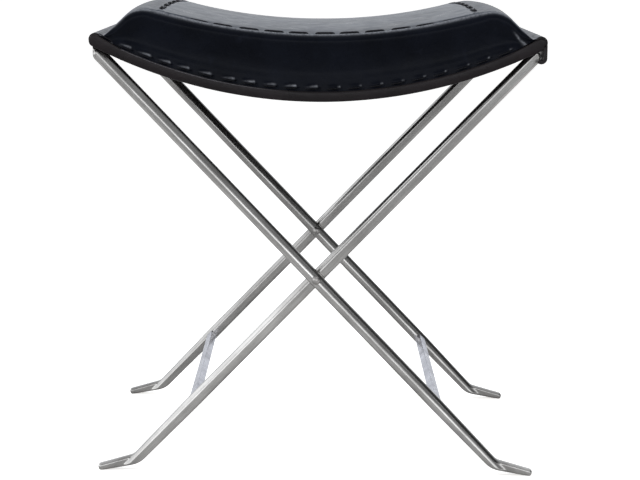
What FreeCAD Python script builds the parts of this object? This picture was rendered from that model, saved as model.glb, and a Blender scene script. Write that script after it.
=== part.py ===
"""X frame stool: two pinned steel frames that fold, and a leather seat slung between their top rails.

Millimetres. X runs across the stool, Y from front to back, and Z up from the floor. The origin is
on the floor under the middle of the seat. Frame a has its top rail at the left and its feet at the
right, and frame b is its mirror image, set back by one bar.
"""

import FreeCAD
import Part
import math
import os

from FreeCAD import Vector

# Steel bars
BAR_WIDTH = 14.0
BAR_DEPTH = 10.0
BAR_EDGE_RADIUS = 3.0
BAR_TOP_OUTSET = 2.5  # from the rail's middle out to the bar's
PIVOT_HEIGHT = 213.0
FRAME_INSET = 15.5  # from the seat's front edge to the front crossing

# Feet
FOOT_SPREAD = 235.0  # from the middle of the stool to the tip of a toe
TOE_SLOPE = 13.0  # degrees
TOE_TIP_RADIUS = 3.6
TOE_HEEL_THICKNESS = 11.5
TAPER_LENGTH = 90.0
TAPER_BLEND_RADIUS = 200.0
TOE_CORNER_RADIUS = 3.24
INNER_BEND_RADIUS = 12.0
OUTER_BEND_RADIUS = 26.0
REST_FACET_CUT = 0.4

# Bar tops, rails and stretchers
BAR_TOP_RADIUS = 7.0
BAR_TOP_INNER_RADIUS = 3.0
BAR_TOP_GAP = 1.5  # below the roll
TENON_WIDTH = 5.6
RAIL_RADIUS = 3.6
STRETCHER_SIDE = 9.0
STRETCHER_EDGE_RADIUS = 1.4
STRETCHER_REACH = 189.0  # from the pivot, down the bar

# Pivots
RIVET_RADIUS = 3.0
RIVET_HEAD_RADIUS = 4.7
RIVET_HEAD_HEIGHT = 2.8
RUNNING_GAP = 0.05
SPACER_THICKNESS = 1.2
SPACER_RADIUS = 6.4

# Seat base
SEAT_DEPTH = 384.0
BASE_ARC_RADIUS = 520.0
BASE_LOW_POINT = 403.0
BASE_THICKNESS = 10.5
BASE_HALF_WIDTH = 205.0
FLARE_LENGTH = 27.4  # from the even part of the base out to the rail
ROLL_RADIUS = 6.4
ROLL_END_CLOSURE = 4.0
SOFT_GAP = 0.3
RETURN_THICKNESS = 3.4
RETURN_RADIUS = 6.2
RETURN_DROP = 13.0
RETURN_OUTSET = 0.4
RETURN_SWEEP = 105.0  # degrees
RETURN_LEAST_WIDTH = 8.0

# Cushion
CUSHION_INSET = 3.0
SADDLE_RADIUS = 660.0
SADDLE_LOW_POINT = 473.5
END_LENGTH = 56.4  # from the saddle's end out to the rail
HUMP_RADIUS = 28.0
END_SLOPE = 45.0  # degrees
LIP_SETBACK = 9.5
LIP_ROUNDING = 0.45
CROWN = 6.5
END_CROWN = 3.0
DRAW_IN = 2.5
WALL_HOLLOW = 1.2
SADDLE_SECTIONS = 6
TOP_EDGE_RADIUS = 9.0
COVER_THICKNESS = 2.0
END_SEAM_SETBACK = 9.0
TOP_SEAM_INSET = 12.0

# Seams
THREAD_RADIUS = 0.6
THREAD_LIFT = 0.2
BASE_SEAM_RISE = 6.0
BASE_STITCH_PITCH = 22.0
BASE_STITCH_LENGTH = 14.0
TOP_STITCH_PITCH = 26.0
TOP_STITCH_LENGTH = 20.0
LACE_PITCH = 12.0
LACE_HALF_WIDTH = 3.4

HALF_SEAT = SEAT_DEPTH / 2
RAIL_X = BASE_HALF_WIDTH + FLARE_LENGTH
LIP_X = RAIL_X - LIP_SETBACK
SADDLE_HALF_WIDTH = RAIL_X - END_LENGTH
TOP_PANEL_HALF_WIDTH = SADDLE_HALF_WIDTH - END_SEAM_SETBACK
ARC_CENTRE_Z = BASE_LOW_POINT + BASE_ARC_RADIUS
RAIL_Z = ARC_CENTRE_Z - math.sqrt((BASE_ARC_RADIUS - ROLL_RADIUS) ** 2 - RAIL_X**2)
BAR_TOP_Z = RAIL_Z - ROLL_RADIUS - BAR_TOP_GAP
LEAN = math.atan2(RAIL_X + BAR_TOP_OUTSET, BAR_TOP_Z - PIVOT_HEIGHT)
UP_BAR = (math.sin(LEAN), math.cos(LEAN))
ACROSS_BAR = (math.cos(LEAN), -math.sin(LEAN))
BAR_OFFSET = (BAR_DEPTH + SPACER_THICKNESS) / 2 + RUNNING_GAP
CROSSINGS = {"front": FRAME_INSET - HALF_SEAT, "rear": HALF_SEAT - FRAME_INSET}


def at(x, z, y=0.0):
    return Vector(x, y, z)


def line(a, b):
    return Part.LineSegment(a, b).toShape()


def arc(a, b, c):
    return Part.Arc(a, b, c).toShape()


def box(low, high):
    return Part.makeBox(high[0] - low[0], high[1] - low[1], high[2] - low[2], Vector(*low))


def rod(radius, start, end):
    return Part.makeCylinder(radius, (end - start).Length, start, end - start)


def slab(wire, low_y, high_y):
    """The closed outline in the XZ plane, extruded from low_y to high_y."""
    face = Part.Face(wire)
    face.translate(Vector(0, low_y, 0))
    return face.extrude(Vector(0, high_y - low_y, 0))


def mirrored(shape):
    return shape.mirror(Vector(0, 0, 0), Vector(1, 0, 0))


def rounded_outline(corners):
    """A closed wire through corners (x, z, radius), each rounded by an arc of its radius."""
    edges, ends = [], []
    count = len(corners)
    for i, (x, z, radius) in enumerate(corners):
        here = at(x, z)
        before = at(*corners[i - 1][:2]) - here
        after = at(*corners[(i + 1) % count][:2]) - here
        before.normalize()
        after.normalize()
        half_angle = before.getAngle(after) / 2
        setback = radius / math.tan(half_angle)
        middle = before + after
        middle.normalize()
        to_arc = radius / math.sin(half_angle) - radius
        ends.append((here + before * setback, here + middle * to_arc, here + after * setback))
    for i, (start, middle, end) in enumerate(ends):
        edges.append(arc(start, middle, end))
        edges.append(line(end, ends[(i + 1) % count][0]))
    return Part.Wire(edges)


def base_bottom(x):
    return ARC_CENTRE_Z - math.sqrt(BASE_ARC_RADIUS**2 - x**2)


def base_top(x):
    return ARC_CENTRE_Z - math.sqrt((BASE_ARC_RADIUS - BASE_THICKNESS) ** 2 - x**2)


def bar_point(reach, offset=0.0):
    """A point of frame b's bar: reach up the bar from the pivot, offset towards its lower side."""
    x = UP_BAR[0] * reach + ACROSS_BAR[0] * offset
    z = PIVOT_HEIGHT + UP_BAR[1] * reach + ACROSS_BAR[1] * offset
    return x, z


def heel_reach():
    """How far below the pivot the middle lines of the bar and its toe meet."""
    slope = math.radians(TOE_SLOPE)
    tip_x = -(FOOT_SPREAD - TOE_TIP_RADIUS)
    rise = PIVOT_HEIGHT - (TOE_TIP_RADIUS - REST_FACET_CUT)
    gap = (-tip_x) * math.sin(slope) - rise * math.cos(slope)
    turn = UP_BAR[0] * math.sin(slope) - UP_BAR[1] * math.cos(slope)
    return gap / turn


def leg_outline():
    """Frame b's bar from the side: straight, tapering to the heel, then a toe down to the floor."""
    slope = math.radians(TOE_SLOPE)
    reach = -heel_reach()
    half_bar = BAR_WIDTH / 2
    half_heel = TOE_HEEL_THICKNESS / 2
    heel = bar_point(reach)
    toe_way = (-math.cos(slope), -math.sin(slope))
    upper_sides = ((-ACROSS_BAR[0], -ACROSS_BAR[1]), (-math.sin(slope), math.cos(slope)))
    bisector = Vector(upper_sides[0][0] + upper_sides[1][0], 0, upper_sides[0][1] + upper_sides[1][1])
    bisector.normalize()
    across = bisector.x * upper_sides[1][0] + bisector.z * upper_sides[1][1]
    miter = half_heel / across
    tip = (-(FOOT_SPREAD - TOE_TIP_RADIUS), TOE_TIP_RADIUS - REST_FACET_CUT)
    nose = (tip[0] + toe_way[0] * TOE_TIP_RADIUS, tip[1] + toe_way[1] * TOE_TIP_RADIUS)
    tip_half = TOE_TIP_RADIUS
    tip_side = upper_sides[1]
    top_inner = bar_top_x(-half_bar)
    top_outer = bar_top_x(half_bar)
    return rounded_outline(
        [
            (*bar_point(reach + TAPER_LENGTH, -half_bar), TAPER_BLEND_RADIUS),
            (heel[0] + bisector.x * miter, heel[1] + bisector.z * miter, INNER_BEND_RADIUS),
            (nose[0] + tip_side[0] * tip_half, nose[1] + tip_side[1] * tip_half, TOE_CORNER_RADIUS),
            (nose[0] - tip_side[0] * tip_half, nose[1] - tip_side[1] * tip_half, TOE_CORNER_RADIUS),
            (heel[0] - bisector.x * miter, heel[1] - bisector.z * miter, OUTER_BEND_RADIUS),
            (*bar_point(reach + TAPER_LENGTH, half_bar), TAPER_BLEND_RADIUS),
            (top_outer, BAR_TOP_Z, BAR_TOP_RADIUS),
            (top_inner, BAR_TOP_Z, BAR_TOP_INNER_RADIUS),
        ]
    )


def bar_top_x(offset):
    """Where the bar's side at that offset reaches the level cut at its top."""
    reach = (BAR_TOP_Z - PIVOT_HEIGHT - ACROSS_BAR[1] * offset) / UP_BAR[1]
    return bar_point(reach, offset)[0]


def leg(middle_y):
    """Frame b's bar in its place, with its pivot hole and the tenon that carries the rail."""
    low_y, high_y = middle_y - BAR_DEPTH / 2, middle_y + BAR_DEPTH / 2
    bar = slab(leg_outline(), low_y, high_y)
    rims = [
        e for e in bar.Edges
        if all(abs(abs(v.Y - middle_y) - BAR_DEPTH / 2) < 1e-6 for v in e.Vertexes)
        and abs(e.Vertexes[0].Y - e.Vertexes[-1].Y) < 1e-6
    ]
    bar = bar.makeFillet(BAR_EDGE_RADIUS, rims)
    half = TENON_WIDTH / 2
    tenon = box(
        (RAIL_X - half, middle_y - half, BAR_TOP_Z - BAR_TOP_RADIUS),
        (RAIL_X + half, middle_y + half, RAIL_Z),
    )
    hole_start, hole_end = at(0, PIVOT_HEIGHT, low_y - 1), at(0, PIVOT_HEIGHT, high_y + 1)
    hole = rod(RIVET_RADIUS + RUNNING_GAP, hole_start, hole_end)
    floor = box((-2 * FOOT_SPREAD, low_y - 1, -BAR_WIDTH), (2 * FOOT_SPREAD, high_y + 1, 0))
    return bar.fuse(tenon).cut(hole).cut(rail()).cut(floor).removeSplitter()


def rail():
    half = HALF_SEAT - ROLL_END_CLOSURE
    return rod(RAIL_RADIUS, at(RAIL_X, RAIL_Z, -half), at(RAIL_X, RAIL_Z, half))


def leg_middles(frame):
    """The front and rear leg's middle in Y. Frame a's bars stand in front of frame b's."""
    way = -1 if frame == "a" else 1
    return {end: y + way * BAR_OFFSET for end, y in CROSSINGS.items()}


def stretcher(frame):
    """A square bar turned to show its ridge, between the inner faces of frame's two legs."""
    middles = leg_middles(frame)
    low_y, high_y = middles["front"] + BAR_DEPTH / 2, middles["rear"] - BAR_DEPTH / 2
    x, z = bar_point(-STRETCHER_REACH)
    half = STRETCHER_SIDE / math.sqrt(2)
    corners = [(x + half, z), (x, z + half), (x - half, z), (x, z - half)]
    outline = rounded_outline([(*c, STRETCHER_EDGE_RADIUS) for c in corners])
    return slab(outline, low_y, high_y)


def rivet(end):
    """A round shank through both bars, with a low domed head at each end."""
    y = CROSSINGS[end]
    half = BAR_OFFSET + BAR_DEPTH / 2 + RUNNING_GAP
    shank = rod(RIVET_RADIUS, at(0, PIVOT_HEIGHT, y - half), at(0, PIVOT_HEIGHT, y + half))
    dome_radius = (RIVET_HEAD_RADIUS**2 + RIVET_HEAD_HEIGHT**2) / (2 * RIVET_HEAD_HEIGHT)
    inset = dome_radius - RIVET_HEAD_HEIGHT
    parts = shank
    for way in (-1, 1):
        seat_y = y + way * half
        ball = Part.makeSphere(dome_radius, at(0, PIVOT_HEIGHT, seat_y - way * inset))
        keep = rod(
            2 * dome_radius, at(0, PIVOT_HEIGHT, seat_y), at(0, PIVOT_HEIGHT, seat_y + way * dome_radius)
        )
        parts = parts.fuse(ball.common(keep))
    return parts.removeSplitter()


def spacer(end):
    """The thin washer that keeps the two bars of a crossing apart."""
    y = CROSSINGS[end]
    half = SPACER_THICKNESS / 2
    low, high = at(0, PIVOT_HEIGHT, y - half), at(0, PIVOT_HEIGHT, y + half)
    return rod(SPACER_RADIUS, low, high).cut(rod(RIVET_RADIUS, low, high))


def seat_base():
    """The thick curved leather base between the two rolled ends."""
    x = BASE_HALF_WIDTH
    top = arc(at(-x, base_top(x)), at(0, base_top(0)), at(x, base_top(x)))
    bottom = arc(at(x, base_bottom(x)), at(0, base_bottom(0)), at(-x, base_bottom(x)))
    right = line(at(x, base_top(x)), at(x, base_bottom(x)))
    left = line(at(-x, base_bottom(x)), at(-x, base_top(x)))
    return slab(Part.Wire([top, right, bottom, left]), -HALF_SEAT, HALF_SEAT)


def flare():
    """Start point, direction and length of the roll's upper flat, from the base to the roll."""
    x = BASE_HALF_WIDTH + SOFT_GAP
    start = (x, base_top(x))
    dx, dz = RAIL_X - start[0], RAIL_Z - start[1]
    away = math.hypot(dx, dz)
    angle = math.atan2(dz, dx) + math.asin(ROLL_RADIUS / away)
    return start, (math.cos(angle), math.sin(angle)), math.sqrt(away**2 - ROLL_RADIUS**2)


def return_flap():
    """The leather's end, curled down and in under the roll's outer side."""
    outer, inner = RETURN_RADIUS, RETURN_RADIUS - RETURN_THICKNESS
    x = RAIL_X + ROLL_RADIUS - outer + RETURN_OUTSET
    z = BAR_TOP_Z - RETURN_DROP + outer
    sweep = math.radians(RETURN_SWEEP)

    def ring(radius, angle):
        return at(x + radius * math.cos(angle), z - radius * math.sin(angle))

    edges = [
        line(at(x + outer, RAIL_Z), ring(outer, 0)),
        arc(ring(outer, 0), ring(outer, sweep / 2), ring(outer, sweep)),
        line(ring(outer, sweep), ring(inner, sweep)),
        arc(ring(inner, sweep), ring(inner, sweep / 2), ring(inner, 0)),
        line(ring(inner, 0), at(x + inner, RAIL_Z)),
        line(at(x + inner, RAIL_Z), at(x + outer, RAIL_Z)),
    ]
    return slab(Part.Wire(edges), -HALF_SEAT, HALF_SEAT)


def rail_sleeve(frame, legs):
    """Frame b's rolled end of the seat base, around its rail and notched for the two bars."""
    (x, z), way, length = flare()
    tangent = BASE_ARC_RADIUS / (BASE_ARC_RADIUS - ROLL_RADIUS)
    under = at(RAIL_X * tangent, ARC_CENTRE_Z - (ARC_CENTRE_Z - RAIL_Z) * tangent)
    over = at(x + way[0] * length, z + way[1] * length)
    low_middle = (x + under.x) / 2
    edges = [
        line(at(x, z), at(x, base_bottom(x))),
        arc(at(x, base_bottom(x)), at(low_middle, base_bottom(low_middle)), under),
        arc(under, at(RAIL_X + ROLL_RADIUS, RAIL_Z), over),
        line(over, at(x, z)),
    ]
    roll = slab(Part.Wire(edges), -HALF_SEAT, HALF_SEAT)
    flap = return_flap()
    middles = leg_middles(frame)
    clear = BAR_DEPTH / 2 + SOFT_GAP
    low_x, high_x = RAIL_X - BAR_WIDTH, RAIL_X + 2 * ROLL_RADIUS
    for end, out in (("front", -1), ("rear", 1)):
        low_y, high_y = middles[end] - clear, middles[end] + clear
        margin = HALF_SEAT - out * middles[end] - clear
        if margin < RETURN_LEAST_WIDTH:
            low_y, high_y = min(low_y, out * HALF_SEAT), max(high_y, out * HALF_SEAT)
        flap = flap.cut(box((low_x, low_y, 0), (high_x, high_y, RAIL_Z)))
    sleeve = roll.fuse(flap).cut(rail())
    for piece in legs:
        sleeve = sleeve.cut(piece)
    return sleeve.removeSplitter()


def top_height(x):
    """The cushion's shoulder at x: saddle, hump, then the slope down to the lip."""
    x = abs(x)
    slope = math.radians(END_SLOPE)
    lean = math.asin(SADDLE_HALF_WIDTH / SADDLE_RADIUS)
    hump_x = (SADDLE_RADIUS + HUMP_RADIUS) * math.sin(lean)
    hump_z = SADDLE_LOW_POINT + SADDLE_RADIUS - (SADDLE_RADIUS + HUMP_RADIUS) * math.cos(lean)
    slope_x = hump_x + HUMP_RADIUS * math.sin(slope)
    if x <= SADDLE_HALF_WIDTH:
        return SADDLE_LOW_POINT + SADDLE_RADIUS - math.sqrt(SADDLE_RADIUS**2 - x**2)
    if x <= slope_x:
        return hump_z + math.sqrt(HUMP_RADIUS**2 - (x - hump_x) ** 2)
    return hump_z + HUMP_RADIUS * math.cos(slope) - (x - slope_x) * math.tan(slope)


def bottom_height(x):
    """The cushion's underside at x: on the base, then just clear of the roll's upper flat."""
    x = abs(x)
    if x < BASE_HALF_WIDTH:
        return base_top(x)
    (start_x, start_z), way, _ = flare()
    return start_z + ((x - start_x) * way[1] + SOFT_GAP) / way[0]


def half_depth(x, inset):
    """How far the cushion's drawn-in walls stand from its middle at x."""
    return HALF_SEAT - CUSHION_INSET - inset - DRAW_IN * (1 - (x / RAIL_X) ** 2)


def crown(x):
    """How far the middle of the cushion stands above its shoulders at x."""
    return CROWN - (CROWN - END_CROWN) * abs(x) / LIP_X


def cushion_section(x, inset):
    """The cushion cut across at x: flat base, hollow walls, round top edges and a crown."""
    low, shoulder = bottom_height(x), top_height(x) - inset
    high = shoulder + crown(x)
    half = half_depth(x, inset)
    radius = min(TOP_EDGE_RADIUS - inset, (shoulder - low) * LIP_ROUNDING)
    hollow = half - min(WALL_HOLLOW, radius / 2)
    corner = radius * (1 - math.sqrt(0.5))

    def point(y, z):
        return at(x, z, y)

    return Part.Wire(
        [
            line(point(-half, low), point(half, low)),
            arc(
                point(half, low),
                point(hollow, (low + shoulder - radius) / 2),
                point(half, shoulder - radius),
            ),
            arc(
                point(half, shoulder - radius),
                point(half - corner, shoulder - corner),
                point(half - radius, shoulder),
            ),
            arc(point(half - radius, shoulder), point(0, high), point(radius - half, shoulder)),
            arc(
                point(radius - half, shoulder),
                point(corner - half, shoulder - corner),
                point(-half, shoulder - radius),
            ),
            arc(
                point(-half, shoulder - radius),
                point(-hollow, (low + shoulder - radius) / 2),
                point(-half, low),
            ),
        ]
    )


def section_places(inset):
    """Where the cushion's sections stand on one side: even over the saddle, closer over the end."""
    slope = math.radians(END_SLOPE)
    lean = math.asin(SADDLE_HALF_WIDTH / SADDLE_RADIUS)
    hump_x = (SADDLE_RADIUS + HUMP_RADIUS) * math.sin(lean)
    slope_x = hump_x + HUMP_RADIUS * math.sin(slope)
    seam_x = TOP_PANEL_HALF_WIDTH
    places = [seam_x * i / SADDLE_SECTIONS for i in range(SADDLE_SECTIONS)]
    places += [seam_x, SADDLE_HALF_WIDTH, hump_x, (hump_x + slope_x) / 2, slope_x]
    places += [BASE_HALF_WIDTH, (BASE_HALF_WIDTH + LIP_X) / 2, LIP_X - inset]
    return sorted(places)


def cushion_form(inset):
    """The crowned cushion with its drawn-in walls, inset all over by that much."""
    places = section_places(inset)
    places = [-x for x in places[:0:-1]] + places
    return Part.makeLoft([cushion_section(x, inset) for x in places], True, True)


def cover_panels():
    """The foam and the cover's panels: the cover is split along its top seams."""
    foam = cushion_form(COVER_THICKNESS)
    shell = cushion_form(0).cut(foam)
    far = 2 * HALF_SEAT
    seam_x, seam_y = TOP_PANEL_HALF_WIDTH, top_seam_y()
    zones = {
        "top_panel": ((-seam_x, -seam_y), (seam_x, seam_y)),
        "left_end_panel": ((-far, -seam_y), (-seam_x, seam_y)),
        "right_end_panel": ((seam_x, -seam_y), (far, seam_y)),
        "front_panel": ((-far, -far), (far, -seam_y)),
        "rear_panel": ((-far, seam_y), (far, far)),
    }
    high = 2 * SADDLE_LOW_POINT
    panels = {n: shell.common(box((*low, 0), (*top, high))) for n, (low, top) in zones.items()}
    return {"cushion_foam": foam, **panels}


def top_seam_y():
    return HALF_SEAT - CUSHION_INSET - TOP_SEAM_INSET


def surface_height(x, y):
    """The cushion's top over (x, y), between the round edges."""
    flat = half_depth(x, 0) - TOP_EDGE_RADIUS
    return top_height(x) + crown(x) * (1 - (y / flat) ** 2)


def stitches(points):
    """A group of separate straight stitches, one for each pair of points."""
    return Part.makeCompound([rod(THREAD_RADIUS, a, b) for a, b in points])


def spaced(low, high, pitch):
    """Places pitch apart, evenly about the middle between low and high."""
    count = int((high - low) / pitch) + 1
    first = (low + high - (count - 1) * pitch) / 2
    return [first + i * pitch for i in range(count)]


def base_stitches(way):
    """The running stitches that hold the cushion's front or rear wall to the base."""
    half = BASE_STITCH_LENGTH / 2

    def on_wall(x):
        return at(x, base_top(x) + BASE_SEAM_RISE, way * (half_depth(x, 0) + THREAD_RADIUS))

    limit = BASE_HALF_WIDTH - half
    places = spaced(-limit, limit, BASE_STITCH_PITCH)
    return stitches([(on_wall(x - half), on_wall(x + half)) for x in places])


def on_top(x, y):
    return at(x, surface_height(x, y) + THREAD_RADIUS + THREAD_LIFT, y)


def top_stitches(way):
    """The long stitches along the top panel's front or rear edge."""
    half = TOP_STITCH_LENGTH / 2
    limit = TOP_PANEL_HALF_WIDTH - half
    y = way * top_seam_y()
    return stitches(
        [(on_top(x - half, y), on_top(x + half, y)) for x in spaced(-limit, limit, TOP_STITCH_PITCH)]
    )


def end_lacing():
    """The zigzag thread over the seam between the top panel and the right end panel."""
    limit = top_seam_y() - LACE_PITCH / 2
    inner, outer = TOP_PANEL_HALF_WIDTH - LACE_HALF_WIDTH, TOP_PANEL_HALF_WIDTH + LACE_HALF_WIDTH
    step = LACE_PITCH / 4
    places = spaced(-limit, limit, LACE_PITCH)
    return stitches([(on_top(inner, y - step), on_top(outer, y + step)) for y in places])


def build():
    """Every node by name."""
    nodes = {}
    for frame, place in (("a", mirrored), ("b", lambda shape: shape)):
        legs = {end: leg(y) for end, y in leg_middles(frame).items()}
        for end, shape in legs.items():
            nodes[f"{end}_leg_{frame}"] = place(shape)
        nodes[f"top_rail_{frame}"] = place(rail())
        nodes[f"stretcher_{frame}"] = place(stretcher(frame))
        side = "left" if frame == "a" else "right"
        nodes[f"{side}_rail_sleeve"] = place(rail_sleeve(frame, legs.values()))
    for end in CROSSINGS:
        nodes[f"{end}_pivot_rivet"] = rivet(end)
        nodes[f"{end}_pivot_spacer"] = spacer(end)
    nodes["seat_base"] = seat_base()
    nodes.update(cover_panels())
    for end, way in (("front", -1), ("rear", 1)):
        nodes[f"{end}_base_stitches"] = base_stitches(way)
        nodes[f"{end}_top_stitches"] = top_stitches(way)
    nodes["right_end_lacing"] = end_lacing()
    nodes["left_end_lacing"] = mirrored(end_lacing())
    return nodes


def main():
    os.makedirs("parts", exist_ok=True)
    for name, shape in build().items():
        print(name, shape.isValid(), len(shape.Solids), round(shape.Volume, 1), shape.BoundBox)
        shape.exportStep(f"parts/{name}.step")


main()
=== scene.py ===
"""X frame stool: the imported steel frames, dressed with a thick leather base and a stitched cushion.

Metres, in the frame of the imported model: X across the stool, Y from front to back, Z up from the
floor.
"""

import bpy
import math
import numpy as np
from mathutils import Matrix, Vector


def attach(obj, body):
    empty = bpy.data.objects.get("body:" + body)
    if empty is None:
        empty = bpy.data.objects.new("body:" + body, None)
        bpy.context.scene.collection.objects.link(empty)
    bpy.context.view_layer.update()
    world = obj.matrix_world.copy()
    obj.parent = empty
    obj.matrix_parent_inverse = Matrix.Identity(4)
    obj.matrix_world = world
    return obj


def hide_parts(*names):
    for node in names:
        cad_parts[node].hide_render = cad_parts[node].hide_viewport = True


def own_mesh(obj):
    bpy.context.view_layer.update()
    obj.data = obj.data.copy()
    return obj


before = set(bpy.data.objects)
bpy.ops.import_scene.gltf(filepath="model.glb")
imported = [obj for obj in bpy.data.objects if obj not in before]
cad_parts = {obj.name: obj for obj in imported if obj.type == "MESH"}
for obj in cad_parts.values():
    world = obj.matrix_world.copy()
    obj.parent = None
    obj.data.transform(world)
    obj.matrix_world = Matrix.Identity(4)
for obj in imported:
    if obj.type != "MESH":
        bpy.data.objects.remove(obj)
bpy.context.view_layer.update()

# Seat base and rolls
HALF_SEAT = 0.192
BASE_ARC_RADIUS = 0.520
BASE_THICKNESS = 0.0105
BASE_LOW_POINT = 0.403
BASE_HALF_WIDTH = 0.205
RAIL_X = 0.2324
PIVOT_HEIGHT = 0.213
ROLL_RADIUS = 0.0064
ARC_CENTRE_Z = BASE_LOW_POINT + BASE_ARC_RADIUS
RAIL_Z = ARC_CENTRE_Z - math.sqrt((BASE_ARC_RADIUS - ROLL_RADIUS) ** 2 - RAIL_X**2)
BASE_EDGE = 0.0016
LIP_THICKNESS = 0.0018
LIP_INNER_RADIUS = 0.0053
CURL_RADIUS = 0.0062
CURL_DROP = 0.0145  # from the roll's lowest point to the curl's
CURL_SWEEP = math.radians(118)

# Cushion
WALL_Y = 0.189
SADDLE_RADIUS = 0.660
SADDLE_LOW_POINT = 0.4735
SADDLE_HALF_WIDTH = 0.176
HUMP_RADIUS = 0.028
END_SLOPE = math.radians(45)
LIP_X = 0.2302
CROWN = 0.0045
END_CROWN = 0.003
DRAW_IN = 0.0025
WALL_HOLLOW = 0.0012
TOP_EDGE_RADIUS = 0.009
TOP_EDGE_SHARE = 0.45  # of the cushion's height, where that is less
CROWN_FADE = 0.02  # the height below which the crown gets flatter
FOLD_SOFTNESS = 0.003  # how softly the end slope runs into the lip
END_SEAM_X = 0.167
TOP_SEAM_Y = 0.177
SEAM_WIDTH = 0.0011
SEAM_DEPTH = 0.0008

# Threads, at the places that the photograph shows
HOLES = (
    -0.2140, -0.1946, -0.1740, -0.1538, -0.1339, -0.1110, -0.0869, -0.0655, -0.0437, -0.0218,
    0.0004, 0.0226, 0.0450, 0.0672, 0.0895, 0.1119, 0.1338, 0.1575, 0.1784, 0.2013,
)  # fmt: skip
STITCH_LENGTH = 0.0145
STITCH_RISE = 0.0026
THREAD_RADIUS = 0.0006
LONG_THREAD_RADIUS = THREAD_RADIUS * 1.6
LONG_PITCH, LONG_LENGTH = 0.0265, 0.0215
LACE_HALF, LACE_PITCH = 0.0030, 0.058

# Steel bars
BAR_HALF_WIDTH = 0.007
BAR_LEAN = math.radians(43.9)
WORN_SLOPE = 0.385

SHARP_ANGLE = math.radians(42)


# Node helpers


class Nodes:
    """Short calls for the nodes of one shader tree."""

    def __init__(self, tree):
        self.tree = tree

    def node(self, kind, **settings):
        made = self.tree.nodes.new(kind)
        for key, value in settings.items():
            setattr(made, key, value)
        return made

    def link(self, source, socket):
        self.tree.links.new(source, socket)

    def feed(self, value, socket):
        """Links value if it is a socket, and sets it as a constant if it is a number or colour."""
        if isinstance(value, bpy.types.NodeSocket):
            self.link(value, socket)
        else:
            socket.default_value = (*value, 1) if isinstance(value, tuple) else value

    def span(self, source, low, high, to_low, to_high):
        made = self.node("ShaderNodeMapRange")
        self.link(source, made.inputs["Value"])
        for i, value in enumerate((low, high, to_low, to_high), 1):
            made.inputs[i].default_value = value
        return made.outputs["Result"]

    def ramp(self, source, *stops):
        made = self.node("ShaderNodeValToRGB")
        self.link(source, made.inputs["Fac"])
        elements = made.color_ramp.elements
        while len(elements) < len(stops):
            elements.new(0.5)
        for element, (place, colour) in zip(elements, stops):
            element.position, element.color = place, (*colour, 1)
        return made.outputs["Color"]

    def mixed(self, share, first, second):
        """Two colours mixed."""
        made = self.node("ShaderNodeMix", data_type="RGBA")
        for value, i in ((share, 0), (first, 6), (second, 7)):
            self.feed(value, made.inputs[i])
        return made.outputs[2]

    def blended(self, share, first, second):
        """Two numbers mixed."""
        made = self.node("ShaderNodeMix", data_type="FLOAT")
        for value, i in ((share, 0), (first, 2), (second, 3)):
            self.feed(value, made.inputs[i])
        return made.outputs[0]

    def maths(self, operation, first, second):
        made = self.node("ShaderNodeMath", operation=operation)
        self.feed(first, made.inputs[0])
        self.feed(second, made.inputs[1])
        return made.outputs[0]


class Surface(Nodes):
    """A material under construction: its shader, and short calls for the nodes that feed it."""

    def __init__(self, name):
        self.material = bpy.data.materials.new(name)
        self.material.use_nodes = True
        super().__init__(self.material.node_tree)
        self.shader = self.tree.nodes["Principled BSDF"]
        self.place = self.node("ShaderNodeTexCoord").outputs["Object"]

    def constants(self, **values):
        for key, value in values.items():
            self.shader.inputs[key.replace("_", " ")].default_value = value

    def turned(self, scale, turn=0.0):
        """Object coordinates turned about Y, then stretched."""
        spin = self.node("ShaderNodeMapping", vector_type="POINT")
        spin.inputs["Rotation"].default_value = (0, turn, 0)
        self.link(self.place, spin.inputs["Vector"])
        stretch = self.node("ShaderNodeVectorMath", operation="MULTIPLY")
        stretch.inputs[1].default_value = scale
        self.link(spin.outputs["Vector"], stretch.inputs[0])
        return stretch.outputs["Vector"]

    def noise(self, scale, detail=3.0, roughness=0.5, vector=None, distortion=0.0):
        made = self.node("ShaderNodeTexNoise")
        self.link(vector or self.place, made.inputs["Vector"])
        made.inputs["Scale"].default_value = scale
        made.inputs["Detail"].default_value = detail
        made.inputs["Roughness"].default_value = roughness
        made.inputs["Distortion"].default_value = distortion
        return made.outputs["Fac"]

    def cells(self, scale, feature="F1", vector=None, randomness=1.0):
        made = self.node("ShaderNodeTexVoronoi", feature=feature)
        self.link(vector or self.place, made.inputs["Vector"])
        made.inputs["Scale"].default_value = scale
        made.inputs["Randomness"].default_value = randomness
        return made.outputs["Distance"]

    def bump(self, height, strength, distance, after=None):
        made = self.node("ShaderNodeBump")
        made.inputs["Strength"].default_value = strength
        made.inputs["Distance"].default_value = distance
        self.link(height, made.inputs["Height"])
        if after:
            self.link(after, made.inputs["Normal"])
        return made.outputs["Normal"]


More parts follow.
